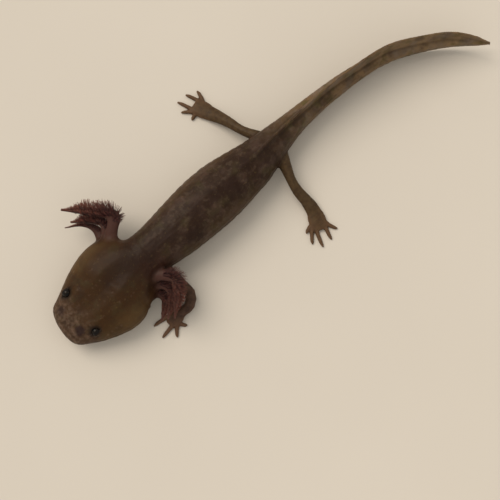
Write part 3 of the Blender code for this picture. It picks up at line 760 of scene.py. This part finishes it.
def make_eye(side):
    """A wet round eyeball, its pole at the pupil, with a slightly bulging cornea."""
    radius = eye_radius() - EYE_GAP
    bm = bmesh.new()
    bmesh.ops.create_uvsphere(bm, u_segments=48, v_segments=32, radius=radius)
    for v in bm.verts:
        angle = math.acos(max(-1.0, min(1.0, v.co.z / radius)))
        v.co *= 1 + CORNEA_RISE * math.exp(-((angle / CORNEA_WIDTH) ** 2))
    mesh = bpy.data.meshes.new("eyeball_" + side)
    bm.to_mesh(mesh)
    bm.free()
    angles = [math.degrees(math.acos(max(-1.0, min(1.0, v.co.normalized().z)))) for v in mesh.vertices]
    store(mesh, "from_pupil", [(angle, 0.0, 0.0) for angle in angles])
    turn = Vector(gaze(side)).to_track_quat("Z", "Y").to_matrix().to_4x4()
    mesh.transform(Matrix.Scale(MM, 4) @ Matrix.Translation(eye_centre(side)) @ turn)
    mesh.shade_smooth()
    return add_object("eyeball_" + side, mesh)


# ---------------------------------------------------------------- gill filaments
FILAMENT_SPACING = 0.13
FILAMENT_ROOT_RADIUS = 0.13
FILAMENT_TIP_RADIUS = 0.04
FILAMENT_SIDES = 5
FILAMENT_POINTS = 7
# How light each side's filaments may be painted: the left gills are painted darker, as painted shade.
FILAMENT_PAINTED_LIGHT = {"left": 0.25, "right": 1.0}  # the left gills are the darker ones
FILAMENT_BEND = 1.5  # how strongly a filament turns back behind its stalk
# A filament starts at least this far under its stalk's surface, or on the centre line of a thin stalk.
ROOT_COVER = 0.4
TILT_SPREAD = 9.0  # degrees
LENGTH_SPREAD = (0.72, 1.06)
THICKNESS_SPREAD = (0.85, 1.15)
FRINGE_THINNING = 0.88  # how much shorter the filaments are at the stalk's tip
FRINGE_START = 0.27  # the share of a stalk below its first filament
# Each gill's rows of filaments: tilt out of the gill's plane in degrees, and length against the longest.
FRINGE_ROWS = ((120, 0.55), (75, 0.8), (35, 1.0), (0, 1.0), (-35, 1.0), (-85, 0.75), (-130, 0.5))


def filament_line(root, out, back, ahead, length, rng):
    """A filament's centre line: out from the stalk, bent back, swept towards the gill's tip and drooping."""
    sweep = 0.5 + rng.normal(0, 0.12)
    droop = 0.16 + abs(rng.normal(0, 0.10))
    wave = rng.normal(0, 0.10)
    line = [root]
    way = out + ahead * sweep * 0.6
    for step in range(1, FILAMENT_POINTS):
        share = step / (FILAMENT_POINTS - 1)
        bend = way + back * FILAMENT_BEND * share + ahead * sweep * share
        bend += UP * (wave * math.sin(share * 5.0) - droop * share)
        bend /= np.linalg.norm(bend)
        line.append(line[-1] + bend * length / (FILAMENT_POINTS - 1))
    return np.array(line)


def make_filaments(side, level):
    """The fringe of filaments along one gill: long rows behind the stalk, shorter ones round its front."""
    rng = np.random.default_rng(100 + 10 * level + (side == "left"))
    line = stalk_line(side, level, FINE_COUNT)
    ways = headings_of(line)
    length = np.linalg.norm(np.diff(line, axis=0), axis=1).sum()
    count = int(length * (1 - FRINGE_START) / FILAMENT_SPACING)
    bm = bmesh.new()
    along = []
    filaments = 0
    for i in range(count):
        for degrees, reach in FRINGE_ROWS:
            part = min(0.995, (i + rng.uniform(0, 0.9)) / count)
            share = FRINGE_START + (1 - FRINGE_START) * part
            at = int(share * (len(line) - 1))
            back = np.cross(UP, ways[at]) * SIDES[side]
            back /= np.linalg.norm(back)
            up = np.cross(ways[at], back) * SIDES[side]
            tilt = math.radians(degrees + rng.normal(0, TILT_SPREAD))
            out = back * math.cos(tilt) + up * math.sin(tilt)
            fullness = ramp(part, -0.12, 0.22) * (1 - FRINGE_THINNING * ramp(part, 0.5, 1.0))
            own_length = FRINGE_LENGTHS[side][level] * fullness * reach * rng.uniform(*LENGTH_SPREAD)
            radius = stalk_radius(share)
            start = max(0.0, radius - ROOT_COVER) * 0.5
            root = line[at] + out * start
            path = filament_line(root, out, back, ways[at], own_length + radius * 0.5 - start, rng)
            sizes = np.linspace(FILAMENT_ROOT_RADIUS, FILAMENT_TIP_RADIUS, FILAMENT_POINTS)
            add_tube(bm, path, sizes * rng.uniform(*THICKNESS_SPREAD), FILAMENT_SIDES)
            # Each filament's own random tint, held low on the left gills as painted shade.
            tint_and_shade = rng.uniform(0, 1) * FILAMENT_PAINTED_LIGHT[side]
            for step in range(FILAMENT_POINTS):
                along += [(step / (FILAMENT_POINTS - 1), tint_and_shade, part)] * FILAMENT_SIDES
            filaments += 1
    name = f"gill_filaments_{side}_{LEVELS[level]}"
    mesh = bpy.data.meshes.new(name)
    bm.to_mesh(mesh)
    bm.free()
    store(mesh, "along", along)
    lay_out_filaments(mesh, filaments)
    mesh.transform(Matrix.Scale(MM, 4))
    mesh.shade_smooth()
    return add_object(name, mesh)


def lay_out_filaments(mesh, count):
    """Gives each filament its own cell of a UV map, its end caps above it."""
    across = math.ceil(math.sqrt(count))
    cell = 1 / across
    layer = mesh.uv_layers.new(name="OFBake")
    per_filament = FILAMENT_SIDES * FILAMENT_POINTS
    for polygon in mesh.polygons:
        rings = [mesh.loops[i].vertex_index // FILAMENT_SIDES % FILAMENT_POINTS for i in polygon.loop_indices]
        at_end = len(polygon.loop_indices) == FILAMENT_SIDES
        spokes = [mesh.loops[i].vertex_index % FILAMENT_SIDES for i in polygon.loop_indices]
        wraps = max(spokes) - min(spokes) > 1 and not at_end
        for i, ring, spoke in zip(polygon.loop_indices, rings, spokes):
            number = mesh.loops[i].vertex_index // per_filament
            u = (spoke + (FILAMENT_SIDES if wraps and spoke == 0 else 0)) / FILAMENT_SIDES
            v = ring / (FILAMENT_POINTS - 1)
            if at_end:
                turn = 2 * math.pi * spoke / FILAMENT_SIDES
                u = (0.3 if ring else 0.75) + 0.15 * math.cos(turn)
                v = 1.06 + 0.03 * math.sin(turn)
            column, row = number % across, number // across
            layer.data[i].uv = ((column + 0.08 + 0.8 * u) * cell, (row + 0.04 + 0.84 * v) * cell)


# ---------------------------------------------------------------- materials
def add(tree, kind, inputs=None, **settings):
    """Adds a node with its settings, and gives each named input a value or a link."""
    made = tree.nodes.new("ShaderNode" + kind)
    for key, value in settings.items():
        setattr(made, key, value)
    for key, value in (inputs or {}).items():
        if isinstance(value, bpy.types.NodeSocket):
            tree.links.new(value, made.inputs[key])
        else:
            made.inputs[key].default_value = value
    return made


def new_material(name):
    material = bpy.data.materials.new(name)
    material.use_nodes = True
    tree = material.node_tree
    return material, tree, tree.nodes["Principled BSDF"]


def set_sockets(shader, values):
    """Sets what is the same all over a surface on the shader's own sockets."""
    for name, value in values.items():
        shader.inputs[name].default_value = value


def moist_amphibian_skin():
    """Living skin under a film of slime: soft light comes through it, and highlights lie on its grain."""
    material, tree, shader = new_material("moist_amphibian_skin")
    place = add(tree, "Attribute", attribute_name="place").outputs["Vector"]
    parts = {"place": add(tree, "SeparateXYZ", {0: place}).outputs}
    for name in ("kind", "marks", "form", "spots"):
        read = add(tree, "Attribute", attribute_name=name)
        parts[name] = add(tree, "SeparateXYZ", {0: read.outputs["Vector"]}).outputs
    behind, out, height = parts["place"]
    limb, _, gill = parts["kind"]
    near_eye, near_nostril, near_gill = parts["marks"]
    underside, crease, _ = parts["form"]
    blotches, pores, crown = parts["spots"]
    from_middle = add(tree, "Math", {0: out}, operation="ABSOLUTE").outputs[0]

    # Each mask: a value, and the two readings between which it rises from 0 to 1.
    fades = {
        "head": (behind, 31.0, 22.0),
        "body": (behind, 24.0, 34.0),
        "snout": (behind, 10.0, 2.0),
        "tail": (behind, 71.0, 97.0),
        "tail_end": (behind, 98.0, 138.0),
        # the right flank, painted lighter as the side the light falls on
        "right_flank": (out, -4.0, -7.4),
        # the body's left edge and the head's edges, painted lighter as light through thin margins
        "left_edge": (out, 5.0, 7.6),
        "head_edge": (from_middle, 6.4, 11.5),
        "toe": (height, 1.9, 0.8),
        "left_limb": (out, 3.0, 7.0),
        "front_limb": (behind, 62.0, 52.0),
    }
    masks = {}
    for name, (value, start, end) in fades.items():
        low, high = min(start, end), max(start, end)
        limits = {"Value": value, "From Min": low, "From Max": high}
        limits |= {"To Min": float(start > end), "To Max": float(start < end)}
        masks[name] = add(tree, "MapRange", limits, interpolation_type="SMOOTHSTEP").outputs["Result"]

    # Each pattern: size of its features in millimetres, detail, and the readings where it starts and is full.
    grains = {
        "mottle": (3.2, 4.0, 0.46, 0.62),
        "lilac": (4.1, 3.0, 0.47, 0.66),
        "olive": (3.5, 3.0, 0.50, 0.68),
        "grain": (1.1, 3.0, 0.42, 0.66),
        "fleck": (0.75, 1.5, 0.64, 0.74),
        "cloud": (7.0, 2.0, 0.40, 0.64),
        "dust": (1.3, 4.0, 0.50, 0.66),
    }
    patterns = {}
    for name, (size, detail, start, full) in grains.items():
        shifted = add(tree, "VectorMath", {0: place, 1: (11.0 * len(patterns),) * 3}, operation="ADD")
        cloud = add(tree, "TexNoise", {"Vector": shifted.outputs[0], "Scale": 1 / size, "Detail": detail})
        fade = add(tree, "MapRange", {"Value": cloud.outputs["Fac"], "From Min": start, "From Max": full})
        patterns[name] = fade.outputs["Result"]

    # Colours are laid one over another; each layer's strength is the product of its masks and a number.
    layers = [
        # Painted light: the right flank is painted lighter, as the side the light falls on.
        ("painted_light_flank", 0.85, [masks["right_flank"]]),
        # Painted light: the body's left edge is lightened as if light comes through its thin margin.
        ("rim", 0.30, [masks["left_edge"]]),
        ("tail", 0.95, [masks["tail"]]),
        ("tail_end", 0.85, [masks["tail_end"]]),
        ("head", 1.0, [masks["head"]]),
        ("lilac", 0.55, [patterns["lilac"], masks["body"]]),
        ("olive", 0.50, [patterns["olive"]]),
        ("dust", 0.22, [patterns["dust"], masks["body"]]),
        ("ash", 0.45, [patterns["lilac"], masks["tail"]]),
        ("moss", 0.55, [patterns["olive"], masks["tail"]]),
        # Painted light: the head's edges are lightened as if light comes through their thin margins.
        ("rim", 0.60, [masks["head"], masks["head_edge"]]),
        ("snout", 0.60, [masks["snout"]]),
        ("crown", 0.88, [crown]),
        ("maroon", 0.70, [near_gill]),
        ("blotch_and_crease_shade", 0.50, [patterns["mottle"], patterns["cloud"]]),
        ("blotch_and_crease_shade", 0.75, [blotches]),
        ("pale", 0.27, [masks["snout"], patterns["grain"]]),
        ("limb", 0.85, [limb]),
        ("limb_left", 0.75, [limb, masks["left_limb"], masks["front_limb"]]),
        ("blotch_and_crease_shade", 0.45, [limb, patterns["grain"]]),
        ("toe", 0.60, [limb, masks["toe"]]),
        ("fleck", 0.10, [patterns["fleck"]]),
        ("pale", 0.17, [pores]),
        ("belly", 0.80, [underside]),
        ("gill_stalk", 0.90, [gill]),
        # Painted shade: creases and hollows are darkened where shade falls.
        ("blotch_and_crease_shade", 0.45, [crease]),
        ("nostril", 0.80, [near_nostril]),
        ("lids", 0.80, [near_eye]),
    ]
    colour = linear(COLOURS["back"])
    for name, strength, (factor, *others) in layers:
        for other in others:
            factor = add(tree, "Math", {0: factor, 1: other}, operation="MULTIPLY").outputs[0]
        factor = add(tree, "Math", {0: factor, 1: strength}, operation="MULTIPLY", use_clamp=True).outputs[0]
        mix = add(tree, "Mix", {0: factor, 6: colour, 7: linear(COLOURS[name])}, data_type="RGBA")
        colour = mix.outputs[2]
    tree.links.new(colour, shader.inputs["Base Color"])

    # Slime pools unevenly, so the gloss varies over a few millimetres.
    film = add(tree, "TexNoise", {"Vector": place, "Scale": 1 / 2.4, "Detail": 3.0})
    gloss = add(tree, "MapRange", {"Value": film.outputs["Fac"], "To Min": 0.44, "To Max": 0.62})
    tree.links.new(gloss.outputs["Result"], shader.inputs["Roughness"])

    # Skin glands are about 0.1 mm apart; they are drawn 0.45 mm apart, or none would show.
    glands = add(tree, "TexVoronoi", {"Vector": place, "Scale": 1 / 0.45}, feature="SMOOTH_F1")
    fine = add(tree, "TexNoise", {"Vector": place, "Scale": 1 / 0.8, "Detail": 3.0})
    height_sum = add(tree, "Math", {0: glands.outputs["Distance"], 1: fine.outputs["Fac"]}, operation="ADD")
    bump = add(tree, "Bump", {"Height": height_sum.outputs[0], "Strength": 0.35, "Distance": 0.06 * MM})
    tree.links.new(bump.outputs["Normal"], shader.inputs["Normal"])
    even = {"IOR": 1.36, "Specular IOR Level": 0.15, "Coat Weight": 0.06, "Coat Roughness": 0.24}
    even |= {"Subsurface Weight": 0.12, "Subsurface Radius": (1.0, 0.45, 0.25), "Subsurface Scale": 0.6 * MM}
    set_sockets(shader, even)
    return material


def gill_filament_flesh():
    """Thin filaments full of blood: dark at the root and redder at the tip, purple low on the stalk."""
    material, tree, shader = new_material("gill_filament_flesh")
    read = add(tree, "Attribute", attribute_name="along")
    along, tint_and_shade, share = add(tree, "SeparateXYZ", {0: read.outputs["Vector"]}).outputs
    colour = add(tree, "ValToRGB", {"Fac": along})
    stops = colour.color_ramp.elements
    stops[0].color = linear("#261311")
    stops[1].color = linear("#73493C")
    middle = stops.new(0.55)
    middle.color = linear("#43231F")
    # The tint varies each filament's lightness; the left gills' low tints are painted shade.
    vary = add(tree, "Mix", {0: tint_and_shade, 6: (0.75, 0.75, 0.75, 1), 7: (1.2, 1.2, 1.2, 1)}, data_type="RGBA")
    varied = {0: 1.0, 6: colour.outputs["Color"], 7: vary.outputs[2]}
    mixed = add(tree, "Mix", varied, data_type="RGBA", blend_type="MULTIPLY")
    low_down = {"Value": share, "From Min": 0.0, "From Max": 0.45, "To Min": 0.55, "To Max": 0.0}
    thick = add(tree, "MapRange", low_down)
    fuller = {0: thick.outputs["Result"], 6: mixed.outputs[2], 7: linear("#2E131B")}
    flushed = add(tree, "Mix", fuller, data_type="RGBA")
    tree.links.new(flushed.outputs[2], shader.inputs["Base Color"])
    even = {"Roughness": 0.5, "Specular IOR Level": 0.3, "Subsurface Weight": 0.25}
    even |= {"Subsurface Radius": (1.0, 0.3, 0.25), "Subsurface Scale": 0.3 * MM}
    set_sockets(shader, even)
    return material


def wet_eyeball():
    """A clear wet cornea over a dark iris: all but black, with a thin dull gold ring round the pupil."""
    material, tree, shader = new_material("wet_eyeball")
    read = add(tree, "Attribute", attribute_name="from_pupil")
    angle = add(tree, "SeparateXYZ", {0: read.outputs["Vector"]}).outputs[0]
    share = add(tree, "Math", {0: angle, 1: 90.0}, operation="DIVIDE").outputs[0]
    rings = add(tree, "ValToRGB", {"Fac": share})
    stops = rings.color_ramp.elements
    stops[0].position, stops[0].color = 0.0, linear("#050404")
    stops[1].position, stops[1].color = 1.0, linear("#120C0A")
    for position, shade in ((0.33, "#050404"), (0.36, "#2E2416"), (0.40, "#110C0A"), (0.62, "#0E0A08")):
        stop = stops.new(position)
        stop.color = linear(shade)
    tree.links.new(rings.outputs["Color"], shader.inputs["Base Color"])
    set_sockets(shader, {"Roughness": 0.1, "IOR": 1.34, "Specular IOR Level": 0.3})
    return material


def pale_floor_paint():
    """Matt warm grey-white paint, with a very slight cloudiness."""
    material, tree, shader = new_material("pale_floor_paint")
    where = add(tree, "TexCoord").outputs["Object"]
    cloud = add(tree, "TexNoise", {"Vector": where, "Scale": 1 / (60 * MM), "Detail": 2.0})
    shades = {0: cloud.outputs["Fac"], 6: linear("#CBC6BE"), 7: linear("#D1CCC4")}
    colour = add(tree, "Mix", shades, data_type="RGBA")
    tree.links.new(colour.outputs[2], shader.inputs["Base Color"])
    set_sockets(shader, {"Roughness": 0.85})
    return material


# ---------------------------------------------------------------- dressing the frame
def dress():
    skin = make_skin()
    skin.data.materials.clear()
    skin.data.materials.append(moist_amphibian_skin())
    flesh = [name for name in sorted(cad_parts) if not name.startswith(("eye_", "gill_"))]
    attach(skin, "root")
    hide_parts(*flesh)
    eyeball = wet_eyeball()
    filament_flesh = gill_filament_flesh()
    for side in SIDES:
        eye = make_eye(side)
        eye.data.materials.append(eyeball)
        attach(eye, "root")
        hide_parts("eye_" + side)
        for level, level_name in enumerate(LEVELS):
            filaments = make_filaments(side, level)
            filaments.data.materials.append(filament_flesh)
            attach(filaments, "root")
            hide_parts(f"gill_{side}_{level_name}")


# ---------------------------------------------------------------- floor, light and camera
CAMERA_AZIMUTH = math.radians(51.7)
CAMERA_ELEVATION = math.radians(80.0)
CAMERA_DISTANCE = 280.0
CAMERA_AIM = Vector((17.5, -3.0, 0.0))
CAMERA_LENS = 72.0
CAMERA_SENSOR = 36.0
FLOOR_DROP = 0.02  # of the floor under the lowest flats, so that they don't share a plane
SUN_STRENGTH = 1.75
SUN_WIDTH = math.radians(42.0)
ROOM_STRENGTH = 0.94
VIEW_RIGHT = Vector((math.cos(CAMERA_AZIMUTH), math.sin(CAMERA_AZIMUTH), 0.0))
VIEW_AHEAD = Vector((-math.sin(CAMERA_AZIMUTH), math.cos(CAMERA_AZIMUTH), 0.0))


def make_floor():
    bm = bmesh.new()
    bmesh.ops.create_grid(bm, x_segments=2, y_segments=2, size=2.0)
    bmesh.ops.translate(bm, vec=(0, 0, -FLOOR_DROP * MM), verts=bm.verts)
    mesh = bpy.data.meshes.new("floor")
    bm.to_mesh(mesh)
    bm.free()
    floor = add_object("floor", mesh)
    mesh.materials.append(pale_floor_paint())


def light_scene():
    """A high broad sun through a veil of cloud lights the whole floor evenly, in a bright soft room."""
    sun = bpy.data.lights.new("veiled_sun", "SUN")
    sun.energy = SUN_STRENGTH
    sun.angle = SUN_WIDTH
    sun.color = linear("#FFF1DF")[:3]
    lamp = add_object("veiled_sun", sun)
    towards = VIEW_RIGHT * -0.49 + VIEW_AHEAD * 0.35 + Vector((0, 0, 0.80))
    lamp.rotation_euler = towards.to_track_quat("Z", "Y").to_euler()
    world = bpy.data.worlds.new("soft_room")
    world.use_nodes = True
    background = world.node_tree.nodes["Background"]
    background.inputs["Color"].default_value = linear("#DCD6CC")
    background.inputs["Strength"].default_value = ROOM_STRENGTH
    bpy.context.scene.world = world
    bpy.context.scene.view_settings.view_transform = "Standard"


def make_camera():
    camera = add_object("camera", bpy.data.cameras.new("camera"))
    camera.data.sensor_width = CAMERA_SENSOR
    camera.data.lens = CAMERA_LENS
    camera.data.clip_start = 0.01
    away = Vector((0, 0, 1)) * math.sin(CAMERA_ELEVATION) - VIEW_AHEAD * math.cos(CAMERA_ELEVATION)
    upward = VIEW_RIGHT.cross(-away)
    pose = Matrix((VIEW_RIGHT, upward, away)).transposed().to_4x4()
    pose.translation = (CAMERA_AIM + away * CAMERA_DISTANCE) * MM
    camera.matrix_world = pose
    bpy.context.scene.camera = camera


make_camera()
make_floor()
light_scene()
dress()
